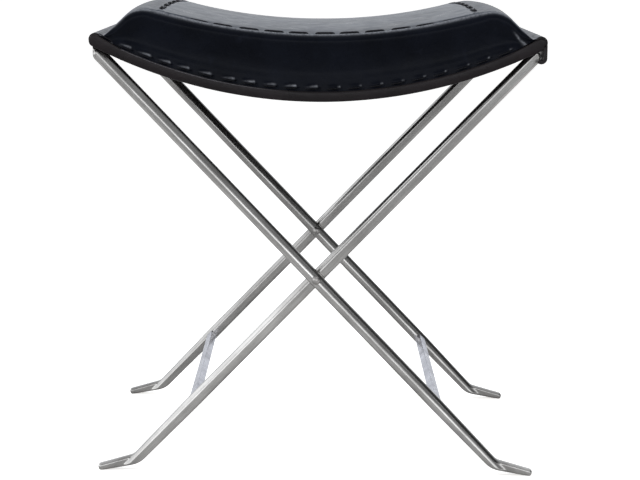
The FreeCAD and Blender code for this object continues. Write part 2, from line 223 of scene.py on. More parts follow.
def steel(name, turn, dark, bright, rough=(0.15, 0.27), worn_round=None):
    """Antique brushed steel: fine lines along the bar, cloudy patina and small dark specks. turn is
    the bar's lean from upright. The upper front edge is worn round from the distance worn_round off
    the bar's middle line."""
    s = Surface(name)
    lines = s.noise(1.0, 4, 0.6, s.turned((900, 900, 28), turn))
    clouds = s.noise(1.0, 4, 0.55, s.turned((55, 55, 16), turn))
    specks = s.span(s.cells(420), 0.05, 0.22, 0.0, 1.0)
    worn = s.span(s.noise(160, 3, 0.6), 0.38, 0.62, 0.0, 1.0)
    colour = s.ramp(clouds, (0.3, dark), (0.68, bright))
    colour = s.mixed(s.span(lines, 0.25, 0.75, 0.0, 0.35), colour, tuple(0.55 * c for c in dark))
    pits = s.maths("MULTIPLY", s.maths("SUBTRACT", 1.0, specks), worn)
    colour = s.mixed(s.maths("MULTIPLY", pits, 0.5), colour, (0.10, 0.09, 0.08))
    s.link(colour, s.shader.inputs["Base Color"])
    s.link(s.span(clouds, 0.3, 0.7, rough[1], rough[0]), s.shader.inputs["Roughness"])
    s.constants(Metallic=1.0)
    form = None
    if worn_round is not None:
        way = -1 if turn < 0 else 1
        split = s.node("ShaderNodeSeparateXYZ")
        s.link(s.place, split.inputs[0])
        over_pivot = s.maths("SUBTRACT", split.outputs["Z"], PIVOT_HEIGHT)
        sideways = s.maths("MULTIPLY", split.outputs["X"], way * math.cos(turn))
        upwards = s.maths("MULTIPLY", over_pivot, way * math.sin(turn))
        across = s.maths("ADD", sideways, upwards)
        lowest = -WORN_SLOPE * (BAR_HALF_WIDTH - worn_round)
        drop = s.span(across, worn_round, BAR_HALF_WIDTH, 0.0, lowest)
        drop.node.interpolation_type = "SMOOTHSTEP"
        form = s.bump(drop, 1.0, 1.0)
    fine = s.bump(lines, 0.22, 0.0001, form)
    s.link(s.bump(s.noise(70, 2, 0.5), 0.12, 0.0006, fine), s.shader.inputs["Normal"])
    return s.material


# the lighter colour of the painted sheen on the cushion's rolled edges
EDGE_SHEEN = (0.034, 0.040, 0.052)


def leather(name, dark, light, rough, grain, specular, creases=0.0, worn=None, sheen=(1, 1, 1)):
    """Smooth finished leather: fine pebble, pores, soft hand-worn clouds and faint creases. Where a
    highlight colour is given, two mesh attributes add a painted sheen and painted highlights."""
    s = Surface(name)
    clouds = s.noise(16, 4, 0.6)
    pebble = s.cells(620, randomness=0.9)
    pores = s.noise(1500, 2, 0.5)
    rub_and_highlight = s.noise(60, 5, 0.65, distortion=0.6)
    colour = s.ramp(clouds, (0.32, dark), (0.7, light))
    scuffs = s.span(rub_and_highlight, 0.6, 0.78, 0.0, 0.5)
    colour = s.mixed(scuffs, colour, tuple(1.9 * c + 0.002 for c in light))
    # painted sheen on the rolled edges and painted highlights, from the mesh's attributes
    if worn:
        wear = s.node("ShaderNodeAttribute", attribute_name="wear").outputs["Fac"]
        patchy_highlight = s.maths("MULTIPLY", wear, s.span(s.noise(380, 3, 0.6), 0.3, 0.6, 0.35, 1.0))
        polish = s.node("ShaderNodeAttribute", attribute_name="polish").outputs["Fac"]
        colour = s.mixed(s.maths("MULTIPLY", polish, polish), colour, EDGE_SHEEN)
        colour = s.mixed(patchy_highlight, colour, worn)
    s.link(colour, s.shader.inputs["Base Color"])
    s.link(s.span(rub_and_highlight, 0.3, 0.75, rough[0], rough[1]), s.shader.inputs["Roughness"])
    s.constants(Specular_Tint=(*sheen, 1), Specular_IOR_Level=specular)
    fine = s.bump(pebble, grain, 0.00012)
    fine = s.bump(pores, grain * 0.5, 0.00005, fine)
    soft = s.bump(clouds, 0.25, 0.004, fine)
    if creases:
        wrinkles = s.cells(95, "DISTANCE_TO_EDGE", s.turned((1.0, 0.35, 1.0)))
        soft = s.bump(s.span(wrinkles, 0.0, 0.12, 0.0, 1.0), creases, 0.0005, soft)
    s.link(soft, s.shader.inputs["Normal"])
    return s.material


def thread_material():
    s = Surface("waxed_thread")
    twist = s.node("ShaderNodeTexWave", wave_type="BANDS", bands_direction="DIAGONAL")
    s.link(s.place, twist.inputs["Vector"])
    twist.inputs["Scale"].default_value = 900
    s.link(
        s.ramp(twist.outputs["Fac"], (0.2, (0.004, 0.004, 0.005)), (0.8, (0.018, 0.018, 0.022))),
        s.shader.inputs["Base Color"],
    )
    s.link(s.span(s.noise(700), 0.3, 0.7, 0.5, 0.75), s.shader.inputs["Roughness"])
    s.constants(Specular_IOR_Level=0.12)
    s.link(s.bump(twist.outputs["Fac"], 0.5, 0.0002), s.shader.inputs["Normal"])
    return s.material


# Mesh helpers


def piece(name, points, faces, materials, face_slots=None, smooth=True):
    mesh = bpy.data.meshes.new(name)
    mesh.from_pydata([tuple(p) for p in points], [], [tuple(f) for f in faces])
    mesh.validate()
    for material in materials:
        mesh.materials.append(material)
    if face_slots is not None:
        mesh.polygons.foreach_set("material_index", np.asarray(face_slots, np.int32))
    mesh.polygons.foreach_set("use_smooth", [smooth] * len(mesh.polygons))
    if smooth:
        mesh.set_sharp_from_angle(angle=SHARP_ANGLE)
    obj = bpy.data.objects.new(name, mesh)
    bpy.context.scene.collection.objects.link(obj)
    return obj


def tube_faces(rows, size):
    """Faces of a closed tube of rows with size points each, wound to face outwards, and caps."""
    i, j = np.meshgrid(np.arange(rows - 1), np.arange(size), indexing="ij")
    k = (j + 1) % size
    quads = np.stack([i * size + j, i * size + k, (i + 1) * size + k, (i + 1) * size + j], axis=-1)
    faces = [tuple(f) for f in quads.reshape(-1, 4).tolist()]
    return faces + [tuple(range(size - 1, -1, -1)), tuple(range((rows - 1) * size, rows * size))]


def skin(rings):
    """Points and faces of a closed tube through rings, an array (rings, points, 3)."""
    return rings.reshape(-1, 3), tube_faces(*rings.shape[:2])


def polar(centre, radius, angle):
    """A 2D point at that distance and angle from centre."""
    return np.array([centre[0] + radius * math.cos(angle), centre[1] + radius * math.sin(angle)])


def outline_inset(outline, distance):
    """A closed 2D outline moved inwards, for an outline that runs counterclockwise."""
    ahead = np.roll(outline, -1, axis=0) - np.roll(outline, 1, axis=0)
    ahead /= np.maximum(np.linalg.norm(ahead, axis=1, keepdims=True), 1e-12)
    return outline + distance * np.stack([-ahead[:, 1], ahead[:, 0]], axis=1)


def area(outline):
    """The outline's area, below 0 where it runs clockwise."""
    x, z = outline[:, 0], outline[:, 1]
    return 0.5 * float(np.sum(x * np.roll(z, -1) - z * np.roll(x, -1)))


def along_y(outline, low, high, edge, steps=5):
    """Rings of an XZ outline swept along Y, with both end edges rounded to that radius."""
    if area(outline) < 0:
        outline = outline[::-1]
    turns = [math.pi / 2 * i / steps for i in range(steps + 1)]
    ends = [(low + edge * (1 - math.cos(a)), edge * (1 - math.sin(a))) for a in turns]
    middle = [(y, 0.0) for y in np.linspace(low + edge, high - edge, 60)[1:-1]]
    back = [(low + high - y, inset) for y, inset in ends[::-1]]
    rings = []
    for y, inset in ends + middle + back:
        flat = outline_inset(outline, inset)
        rings.append(np.stack([flat[:, 0], np.full(len(flat), y), flat[:, 1]], axis=1))
    return np.array(rings)


# The forms that the seat is made of


def base_bottom(x):
    return ARC_CENTRE_Z - np.sqrt(BASE_ARC_RADIUS**2 - x**2)


def base_top(x):
    return ARC_CENTRE_Z - np.sqrt((BASE_ARC_RADIUS - BASE_THICKNESS) ** 2 - x**2)


def flare():
    """Start point and direction of the roll's upper flat, from the base to the roll."""
    x = BASE_HALF_WIDTH
    z = float(base_top(x))
    dx, dz = RAIL_X - x, RAIL_Z - z
    away = math.hypot(dx, dz)
    angle = math.atan2(dz, dx) + math.asin(ROLL_RADIUS / away)
    return (x, z), (math.cos(angle), math.sin(angle))


def hump():
    """The middle of the hump's arc and the place where its end slope starts."""
    lean = math.asin(SADDLE_HALF_WIDTH / SADDLE_RADIUS)
    x = (SADDLE_RADIUS + HUMP_RADIUS) * math.sin(lean)
    z = SADDLE_LOW_POINT + SADDLE_RADIUS - (SADDLE_RADIUS + HUMP_RADIUS) * math.cos(lean)
    return x, z, x + HUMP_RADIUS * math.sin(END_SLOPE)


def top_height(x):
    """The cushion's shoulder at x: saddle, hump, then a slope that folds into the lip."""
    x = np.abs(x)
    hump_x, hump_z, slope_x = hump()
    saddle = SADDLE_LOW_POINT + SADDLE_RADIUS - np.sqrt(SADDLE_RADIUS**2 - x**2)
    over = hump_z + np.sqrt(np.maximum(HUMP_RADIUS**2 - (x - hump_x) ** 2, 0))
    down = hump_z + HUMP_RADIUS * math.cos(END_SLOPE) - (x - slope_x) * math.tan(END_SLOPE)
    height = np.where(x <= SADDLE_HALF_WIDTH, saddle, np.where(x <= slope_x, over, down))
    lip = bottom_height(x) + LIP_THICKNESS
    fold = 0.5 * (height + lip + np.sqrt((height - lip) ** 2 + FOLD_SOFTNESS**2))
    fold = fold - 0.5 * FOLD_SOFTNESS**2 / (fold - lip + FOLD_SOFTNESS)
    return np.where(x > slope_x, fold, height)


def crown(x):
    """How far the middle of the cushion stands above its shoulders at x."""
    return CROWN - (CROWN - END_CROWN) * np.abs(x) / LIP_X


def bottom_height(x):
    """The cushion's underside at x: on the base, then just over the roll's upper flat."""
    x = np.abs(x)
    (start_x, start_z), way = flare()
    over_flat = start_z + (x - start_x) * way[1] / way[0] + 0.0003
    return np.where(x <= BASE_HALF_WIDTH, base_top(x), over_flat)


def half_depth(x):
    """Half the cushion's depth at x, drawn in between its ends."""
    return WALL_Y - DRAW_IN * (1 - (x / RAIL_X) ** 2)


def cushion_point(x, u):
    """Points on the cushion at x and ring place u: 0 to 1 underside, 1 to 2 rear wall, 2 to 3 its
    round edge, 3 to 4 the top from rear to front, 4 to 5 the front edge, 5 to 6 the front wall."""
    x, u = np.broadcast_arrays(np.asarray(x, float), np.asarray(u, float))
    low, shoulder, half = bottom_height(x), top_height(x), half_depth(x)
    radius = np.minimum(TOP_EDGE_RADIUS, (shoulder - low) * TOP_EDGE_SHARE)
    high = shoulder + crown(x) * np.clip((shoulder - low) / CROWN_FADE, 0, 1)
    hollow = np.minimum(WALL_HOLLOW, radius / 2)
    flat = half - radius
    rear = u <= 3.5
    v = np.where(rear, u, 7 - u)
    side = np.where(rear, 1.0, -1.0)
    share = np.clip(v - 1, 0, 1)
    wall_y = half - hollow * 4 * share * (1 - share)
    wall_z = low + share * (shoulder - radius - low)
    angle = np.clip(v - 2, 0, 1) * math.pi / 2
    edge_y = flat + radius * np.cos(angle)
    edge_z = shoulder - radius + radius * np.sin(angle)
    top_y = flat * (7 - 2 * np.clip(v, 3, 3.5))
    top_z = high - (high - shoulder) * (top_y / flat) ** 2
    y = side * np.where(v <= 2, wall_y, np.where(v <= 3, edge_y, top_y))
    z = np.where(v <= 2, wall_z, np.where(v <= 3, edge_z, top_z))
    under = u < 1
    y = np.where(under, half * (2 * u - 1), y)
    z = np.where(under, low, z)
    return np.stack([x, y, z], axis=-1)


def spread(low, high, step):
    """Even places from low to high, about step apart."""
    return np.linspace(low, high, max(2, int(round((high - low) / step)) + 1))


def near(values, centre, offsets):
    """values with more lines close to centre, and none of the old ones between them."""
    reach = max(offsets) * 1.25
    kept = [v for v in values if abs(v - centre) > reach]
    return sorted(kept + [centre + s * o for o in offsets for s in (-1, 1)] + [centre])


SEAM_OFFSETS = (0.0005, 0.0011, 0.0018, 0.0028, 0.0042)


def x_lines(step):
    """The mesh's places along X, closer together at the end seams."""
    values = list(spread(-LIP_X, LIP_X, step))
    for side in (-1, 1):
        values = near(values, side * END_SEAM_X, SEAM_OFFSETS)
    return np.array(sorted(set(round(v, 6) for v in values)))


FOOT_END, FOOT_ROWS = 1.26, 20


def u_lines(wall, edge, top):
    """The mesh's ring places, with so many lines over each wall, each round edge and the top. They
    are closer together at the long seams and at the foot, where the stitches pull."""
    flat = float(half_depth(0.0)) - TOP_EDGE_RADIUS
    place = 3 + 0.5 * (1 - TOP_SEAM_Y / flat)
    top_lines = list(spread(3, 4, 1 / top))
    scale = 0.5 / flat
    offsets = [o * scale for o in SEAM_OFFSETS]
    for centre in (place, 7 - place):
        top_lines = [v for v in near(top_lines, centre, offsets) if 3 < v < 4]
    foot = list(np.linspace(1, FOOT_END, FOOT_ROWS)) + list(np.linspace(FOOT_END, 2, wall + 1)[1:])
    lines = list(np.linspace(0, 1, 25)[:-1]) + foot[:-1]
    lines += list(np.linspace(2, 3, edge + 1)) + top_lines + list(np.linspace(4, 5, edge + 1))[:-1]
    return np.array(lines + [7 - v for v in foot[:0:-1]])


COARSE_STEP = 0.0065
COARSE_ROWS = (24, 8, 3, 60, 3, 8)  # underside, rear wall and edge, top, front edge and wall
HELD_BAND = COARSE_STEP / 2 + 0.00005
HELD_END_X = 0.215
CLOTH_FRAMES = 20
SWELL_CAP = 0.002


def swell():
    """How far the cover swells between its seams, from a cloth simulation on a coarse copy.
    Returns its X lines, ring places and displacements."""
    xs = spread(-LIP_X, LIP_X, COARSE_STEP)
    us = np.concatenate([np.linspace(i, i + 1, n + 1)[:-1] for i, n in enumerate(COARSE_ROWS)])
    flat, faces = skin(cushion_point(xs[:, None], us[None, :]))
    pad = piece("swelling_pad", flat, faces, [])
    places = np.tile(us, len(xs))
    x, y = np.abs(flat[:, 0]), np.abs(flat[:, 1])
    on_top = (places > 3) & (places < 4)
    end_seam = on_top & (np.abs(x - END_SEAM_X) < HELD_BAND) & (y < TOP_SEAM_Y + 0.003)
    long_seam = on_top & (np.abs(y - TOP_SEAM_Y) < HELD_BAND) & (x < END_SEAM_X + 0.008)
    held = (places <= 1.0) | (x > HELD_END_X) | end_seam | long_seam
    group = pad.vertex_groups.new(name="held")
    group.add([int(i) for i in np.nonzero(held)[0]], 1.0, "REPLACE")
    cloth = pad.modifiers.new("Cloth", "CLOTH")
    settings = cloth.settings
    settings.quality = 6
    settings.mass = 0.4
    settings.tension_stiffness = settings.compression_stiffness = 40
    settings.bending_stiffness = 8
    settings.use_pressure = True
    settings.uniform_pressure_force = 4
    settings.effector_weights.gravity = 0
    settings.vertex_group_mass = "held"
    cloth.collision_settings.use_collision = False
    scene = bpy.context.scene
    for number in range(1, CLOTH_FRAMES + 1):
        scene.frame_set(number)
    shaped = pad.evaluated_get(bpy.context.evaluated_depsgraph_get()).to_mesh()
    after = np.zeros(len(shaped.vertices) * 3)
    shaped.vertices.foreach_get("co", after)
    moved = after.reshape(-1, 3) - flat
    reach = np.linalg.norm(moved, axis=1, keepdims=True)
    moved *= np.minimum(1, SWELL_CAP / np.maximum(reach, 1e-9))
    scene.frame_set(1)
    bpy.data.objects.remove(pad, do_unlink=True)
    return xs, us, moved.reshape(len(xs), len(us), 3)


def resampled(xs, us, field, fine_x, fine_u):
    """field on the lines xs and us, read at fine_x and fine_u."""
    us = np.append(us, 6.0)
    field = np.concatenate([field, field[:, :1]], axis=1)
    parts = []
    for k in range(3):
        rows = np.array([np.interp(fine_u, us, row) for row in field[:, :, k]])
        parts.append(np.array([np.interp(fine_x, xs, column) for column in rows.T]).T)
    return np.stack(parts, axis=-1)


def bell(distance, width):
    return np.exp(-((distance / width) ** 2))


SLACK_FROM_X = 0.01  # the stitches to the right of this pull less
# Creases where the front corner folds down on to the lip: X, height over the foot, tilt, painted
# highlight
CORNER_CREASES = (
    (0.210, 0.0135, 0.9, 0.7), (0.2145, 0.0095, 0.75, 0.7), (0.218, 0.006, 0.6, 0.7),
    (0.205, 0.017, 1.1, 0.0), (0.2215, 0.0035, 0.5, 0.7),
)  # fmt: skip


def pulled_leather(points, us):
    """Seam valleys and stitch puckers, as a height over the smooth cushion, and painted highlights.
    """
    x, y, z = points[..., 0], points[..., 1], points[..., 2]
    u = np.broadcast_to(us[None, :], x.shape)
    on_top = (u > 3) & (u < 4)
    height, wear = np.zeros_like(x), np.zeros_like(x)
    # top seams, and the plump leather in front of the long ones
    off_long, off_end = np.abs(y) - TOP_SEAM_Y, np.abs(x) - END_SEAM_X
    long_seam = bell(off_long, SEAM_WIDTH) * (off_end < 0.0008)
    end_seam = bell(off_end, SEAM_WIDTH) * (off_long < 0.0008)
    height -= np.where(on_top, SEAM_DEPTH * np.maximum(long_seam, end_seam), 0)
    plump = bell(off_long - 0.0046, 0.0032) * (off_end < 0)
    height += np.where((u > 2.6) & (u < 4.4), 0.0002 * plump, 0)
    # foot seam: a bulge over each stitch, a pit at each hole and a fan of folds over it
    rise = z - base_top(np.clip(x, -BASE_HALF_WIDTH, BASE_HALF_WIDTH))
    wall = ((u > 1) & (u < 2)) | (u > 5)
    for i, hole in enumerate(HOLES):
        size = 1.0 - 0.35 * math.sin(1.7 * i + 0.4) ** 2
        slack = hole > SLACK_FROM_X
        start = hole - STITCH_LENGTH
        sewn = (x > start) & (x < hole)
        share = np.clip((x - start) / STITCH_LENGTH, 0, 1)
        lens = np.where(sewn, np.sin(np.pi * share**1.6), 0)
        bulge = 0.0020 * size * lens * (0.4 if slack else 1) * bell(rise - 0.0046, 0.0018)
        height += np.where(wall, bulge, 0)
        # painted highlights: a glint dot at each slack stitch's hole, and a highlight along the upper
        # edge of each tight stitch's bulge
        if slack:
            painted_glint = 0.8 * bell(np.hypot(x - hole, rise - 0.0046), 0.0009)
        else:
            ridge = np.where(sewn, share**1.3, 0) * np.clip((hole - x) / 0.001, 0, 1)
            painted_glint = ridge * bell(rise - 0.0056 + 0.0014 * (1 - share), 0.0006 + 0.0006 * share)
        wear = np.maximum(wear, np.where(wall, painted_glint * size, 0))
        height -= np.where(wall, 0.0010 * lens * bell(rise - 0.0020, 0.0008), 0)
        pit = bell(np.hypot(x - hole - 0.0008, rise - 0.003), 0.0011)
        height -= np.where(wall, 0.0016 * pit, 0)
        fan = bell(x - hole + 0.001, 0.0016) * np.clip(1 - rise / 0.022, 0, 1) * (rise > 0.005)
        height -= np.where(wall, 0.0004 * size * fan, 0)
    for at_x, at_rise, tilt, rub_and_highlight in CORNER_CREASES:
        along = (x - at_x) * math.cos(tilt) - (rise - at_rise) * math.sin(tilt)
        off = (x - at_x) * math.sin(tilt) + (rise - at_rise) * math.cos(tilt)
        ridge = np.where(u > 4.2, bell(along, 0.006) * bell(off, 0.0010), 0)
        height += 0.0009 * ridge
        # a painted highlight along each crease's ridge
        wear = np.maximum(wear, rub_and_highlight * ridge)
    return height, np.clip(wear, 0, 1)


def outward_normals(points):
    """Unit normals of the cushion's grid, which point away from its middle."""
    ahead = np.gradient(points, axis=0)
    around = np.roll(points, -1, axis=1) - np.roll(points, 1, axis=1)
    normals = np.cross(around, ahead)
    normals /= np.maximum(np.linalg.norm(normals, axis=-1, keepdims=True), 1e-12)
    outwards = points - np.array([0, 0, 0.44])
    return normals * np.sign(np.sum(normals * outwards, axis=-1, keepdims=True))


def paint(made, name, values):
    """A value for each of the mesh's points, which its material reads."""
    field = made.data.attributes.new(name, "FLOAT", "POINT")
    field.data.foreach_set("value", np.ravel(values).astype(np.float32))


def cushion(materials):
    """The whole cushion cover as one closed skin: swollen panels, seam valleys and puckers."""
    coarse = swell()
    xs, us = x_lines(0.0014), u_lines(14, 10, 90)
    points = cushion_point(xs[:, None], us[None, :])
    points = points + resampled(*coarse, xs, us)
    height, wear = pulled_leather(points, us)
    points = points + outward_normals(points) * height[..., None]
    middle_x = (xs[:-1, None] + xs[1:, None]) / 2
    middle_u = (us + np.append(us[1:], 6.0)) / 2
    middle_y = (points[:-1, :, 1] + np.roll(points[:-1, :, 1], -1, axis=1)) / 2
    top = (middle_u > 3)[None, :] & (middle_u < 4)[None, :] & (np.abs(middle_y) < TOP_SEAM_Y)
    inner = np.broadcast_to(np.abs(middle_x) < END_SEAM_X, top.shape)
    slots = np.where(top & inner, 0, np.where(top, 1, 2)).ravel().tolist() + [2, 2]
    made = piece("seat_cushion", *skin(points), materials, slots)
    # painted sheen on the rolled edges, fading down the walls, with a painted highlight line along
    # them
    polish = 1 - 1.5 * np.where(us < 3.5, 3 - us, us - 4)
    highlight_line = 0.6 * bell(np.abs(us - 3.5) - 0.76, 0.13)
    paint(made, "wear", np.maximum(wear, highlight_line[None, :]))
    paint(made, "polish", np.broadcast_to(np.clip(polish, 0, 1), wear.shape))
    return made


def rounded_section(width, low, high, edge, steps=5, across=48):
    """The YZ outline of a slab of that half width, from z low to high, with rounded corners."""
    ring = []
    for cy, cz, start in (
        (width - edge, high - edge, 0), (edge - width, high - edge, 90),
        (edge - width, low + edge, 180), (width - edge, low + edge, 270),
    ):  # fmt: skip
        for i in range(steps + 1):
            a = math.radians(start + 90 * i / steps)
            ring.append((cy + edge * math.cos(a), cz + edge * math.sin(a)))
        ahead = {0: (edge - width, high), 180: (width - edge, low)}.get(start)
        if ahead:
            here = ring[-1]
            for i in range(1, across):
                ring.append((here[0] + (ahead[0] - here[0]) * i / across, ahead[1]))
    return np.array(ring)


def base_hide(materials):
    """The thick base between the rolls: rounded edges, a painted highlight and a slight hand-cut
    waver.
    """
    reach = BASE_HALF_WIDTH + 0.004
    xs = spread(-reach, reach, 0.0012)
    rings = []
    for x in xs:
        end = float(np.clip((abs(x) - BASE_HALF_WIDTH + 0.03) / 0.03, 0, 1))
        tuck = float(np.clip((abs(x) - BASE_HALF_WIDTH - 0.0015) / 0.0025, 0, 1))
        shrink = 0.0009 * tuck - 0.0001 * end
        low, high = float(base_bottom(x)) + shrink, float(base_top(x)) - shrink
        waver = (1 - end) * (0.0003 * math.sin(41 * x + 1.0) + 0.0002 * math.sin(97 * x))
        section = rounded_section(HALF_SEAT - shrink + waver, low, high, BASE_EDGE)
        rings.append(np.stack([np.full(len(section), x), section[:, 0], section[:, 1]], axis=1))
    points, faces = skin(np.array(rings))
    made = piece("base_hide", points, faces, materials)
    # a painted highlight line along the top front edge, on the left half
    x, y, z = points.T
    rim = bell(base_top(x) - z - 0.0005, 0.0004) * (y < -HALF_SEAT + BASE_EDGE)
    paint(made, "wear", rim * np.clip((-0.03 - x) / 0.05, 0, 1))
    return made


def roll_outline(nose):
    """The right roll's XZ outline, from the base's end round the rail and back, and the angle at
    which its upper flat meets the roll. Its upper side has the radius nose."""
    first, way = flare()
    centre = (RAIL_X, RAIL_Z)
    start, end = math.atan2(way[0], -way[1]), math.atan2(RAIL_Z - ARC_CENTRE_Z, RAIL_X)
    over, first = polar(centre, nose, start), np.array(first)
    top = [first + (over - first) * t for t in np.linspace(0, 1, 10)]
    radii = nose + (ROLL_RADIUS - nose) * np.linspace(0, 1, 26) ** 2
    turn = [polar(centre, r, a) for a, r in zip(np.linspace(start, end, 26)[1:], radii[1:])]
    low = [(x, float(base_bottom(x))) for x in np.linspace(turn[-1][0], first[0], 12)[1:]]
    return np.array([*top, *turn, *low]), start


def lip_outline(start):
    """The cover's lip over the roll: a thin layer from the roll's flat to its outer side."""
    angles = np.linspace(start + 0.3, -0.6, 32)
    outer = [(ROLL_RADIUS + LIP_THICKNESS * (0.1 + 0.85 * max(math.sin(a), 0)), a) for a in angles]
    inner = [(LIP_INNER_RADIUS, a) for a in angles[::-1]]
    return np.array([polar((RAIL_X, RAIL_Z), radius, a) for radius, a in outer + inner])


def return_outline(thick, inset):
    """The hide's end: it hangs from the roll's outer side and curls in, J-shaped."""
    radius, inner = CURL_RADIUS, CURL_RADIUS - thick
    x = RAIL_X + ROLL_RADIUS - radius + 0.0004 - inset
    z = RAIL_Z - ROLL_RADIUS - CURL_DROP + radius
    sweep = np.linspace(0, CURL_SWEEP, 16)
    outer_side = [polar((x, z), radius, -a) for a in sweep]
    tip_centre = polar((x, z), (radius + inner) / 2, -CURL_SWEEP)
    tip_radius = thick / 2 * 0.98
    tip = [
        polar(tip_centre, tip_radius, -CURL_SWEEP - b) for b in np.linspace(0.25, math.pi - 0.25, 7)
    ]
    inner_side = [polar((x, z), inner, -a) for a in sweep[::-1]]
    top = [(x + inner, RAIL_Z - 0.001), (x + radius, RAIL_Z - 0.001)]
    return np.array([*outer_side, *tip, *inner_side, *top])


def tube(points, radius, sides=8):
    """Rings of a thread through points, closed to a point at both ends."""
    points = np.asarray(points, float)
    ahead = np.gradient(points, axis=0)
    ahead /= np.linalg.norm(ahead, axis=1, keepdims=True)
    up = np.array([0, 0, 1.0])
    rings = []
    count = len(points)
    turn = [2 * math.pi * k / sides for k in range(sides)]
    for i, (p, a) in enumerate(zip(points, ahead)):
        side = np.cross(a, up)
        side /= max(np.linalg.norm(side), 1e-9)
        over = np.cross(side, a)
        r = radius * (0.35 if i in (0, count - 1) else 1.0)
        rings.append([p + r * (math.cos(t) * side + math.sin(t) * over) for t in turn])
    return np.array(rings)


def joined(parts):
    """One list of points and faces from several."""
    points, faces = [], []
    for more, quads in parts:
        start = sum(len(p) for p in points)
        points.append(more)
        faces += [tuple(start + i for i in f) for f in quads]
    return np.concatenate(points), faces


# Materials

top_leather = leather(
    "top_leather", (0.008, 0.010, 0.016), (0.018, 0.023, 0.036), rough=(0.26, 0.4),
    grain=0.22, specular=0.13, sheen=(0.66, 0.81, 1.0),
)  # fmt: skip
end_leather = leather(
    "end_leather", (0.006, 0.007, 0.011), (0.014, 0.016, 0.025), rough=(0.28, 0.42),
    grain=0.25, specular=0.1, creases=0.25, sheen=(0.72, 0.82, 1.0),
)  # fmt: skip
# the walls' painted highlights are light grey
wall_leather = leather(
    "wall_leather", (0.0022, 0.0028, 0.0048), (0.0050, 0.0062, 0.0105), rough=(0.24, 0.36),
    grain=0.2, specular=0.045, worn=(0.30, 0.31, 0.34),
)  # fmt: skip
# the base's painted highlight line is dark grey
hide_leather = leather(
    "hide_leather", (0.0062, 0.0048, 0.0052), (0.0135, 0.0102, 0.0112), rough=(0.26, 0.4),
    grain=0.35, specular=0.14, worn=(0.11, 0.105, 0.115),
)  # fmt: skip
STEEL_DARK, STEEL_BRIGHT = (0.27, 0.26, 0.248), (0.50, 0.485, 0.465)
# the rear bars are a darker copy of the same steel: painted shade
steels = {
    f"{end}_{bar}": steel(
        f"{end}_bar_{bar}", way * BAR_LEAN, tuple(painted_shade * c for c in STEEL_DARK),
        tuple(painted_shade * c for c in STEEL_BRIGHT), worn_round=start,
    )
    for end, painted_shade in (("front", 1.0), ("rear", 0.8))
    for bar, way, start in (("a", 1, -0.0015), ("b", -1, 0.0015))
}  # fmt: skip
stretcher_steel = steel(
    "stretcher_steel", math.pi / 2, (0.40, 0.40, 0.44), (0.62, 0.62, 0.68), rough=(0.22, 0.35)
)
rivet_steel = steel("rivet_steel", 0.0, (0.26, 0.25, 0.24), (0.46, 0.44, 0.42), rough=(0.3, 0.45))
thread = thread_material()

for node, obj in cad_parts.items():
    finish = None
    if "leg" in node:
        finish = steels[node.replace("_leg", "")]
    elif "stretcher" in node or "top_rail" in node:
        finish = stretcher_steel
    elif "pivot" in node:
        finish = rivet_steel
    if finish:
        obj.data.materials.clear()
        obj.data.materials.append(finish)
        for polygon in obj.data.polygons:
            polygon.material_index = 0

# Seat pieces

cover = cushion([top_leather, end_leather, wall_leather])
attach(cover, "seat")
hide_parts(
    "cushion_foam", "top_panel", "front_panel", "rear_panel",
    "left_end_panel", "right_end_panel",
)  # fmt: skip

hide = base_hide([hide_leather])
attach(hide, "seat")
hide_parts("seat_base")

# The rolls' upper radius, the returns' thickness and inset, and where they lie along Y
NOSES = {"left": 0.0061, "right": 0.0056}
CURLS = {"left": (0.0034, 0.0042), "right": (0.0042, 0.0)}
RETURN_SPANS = {
    "right": ((-0.192, -0.17615), (-0.16555, 0.17685)),
    "left": ((-0.17685, 0.16555), (0.17615, 0.192)),
}
LIP_SPANS = {"left": (-0.1885, 0.1925), "right": (-0.1925, 0.1885)}
LIP_EDGE = 0.0004
for side, sign, body in (("left", -1, "frame_a"), ("right", 1, "frame_b")):
    outline, over_angle = roll_outline(NOSES[side])
    lip, curl = lip_outline(over_angle), return_outline(*CURLS[side])
    parts = [skin(along_y(outline * (sign, 1), -HALF_SEAT, HALF_SEAT, 0.0010))]
    for low, high in RETURN_SPANS[side]:
        parts.append(skin(along_y(curl * (sign, 1), low, high, 0.0009)))
    roll = piece(f"{side}_roll", *joined(parts), [hide_leather])
    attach(roll, body)
    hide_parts(f"{side}_rail_sleeve")
    low, high = LIP_SPANS[side]
    points, faces = skin(along_y(lip * (sign, 1), low, high, LIP_EDGE))
    ends = np.abs(points[:, 1] - (low + high) / 2) > (high - low) / 2 - LIP_EDGE
    slots = [1 if all(ends[i] for i in face) else 0 for face in faces]
    layer = piece(f"{side}_lip", points, faces, [end_leather, hide_leather], slots)
    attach(layer, body)

# Threads


def wall_thread(way):
    """The running stitches along the foot of the front wall, way -1, or the rear one, way 1."""
    parts = []
    share = np.linspace(0, 1, 13)
    for hole in HOLES:
        xs = np.linspace(hole - STITCH_LENGTH, hole, 13)
        out = half_depth(xs) + 0.0002 - 0.0016 * (2 * share - 1) ** 6 - WALL_HOLLOW * 0.5
        zs = base_top(np.clip(xs, -BASE_HALF_WIDTH, BASE_HALF_WIDTH)) + STITCH_RISE
        past = bottom_height(xs) + STITCH_RISE * 0.8
        zs = np.where(np.abs(xs) > BASE_HALF_WIDTH, past, zs)
        parts.append(skin(tube(np.stack([xs, way * out, zs], axis=1), THREAD_RADIUS)))
    return joined(parts)


def surface_z(x, y):
    """The height of the cushion's smooth top."""
    flat = half_depth(x) - TOP_EDGE_RADIUS
    return top_height(x) + crown(x) * (1 - (y / flat) ** 2)


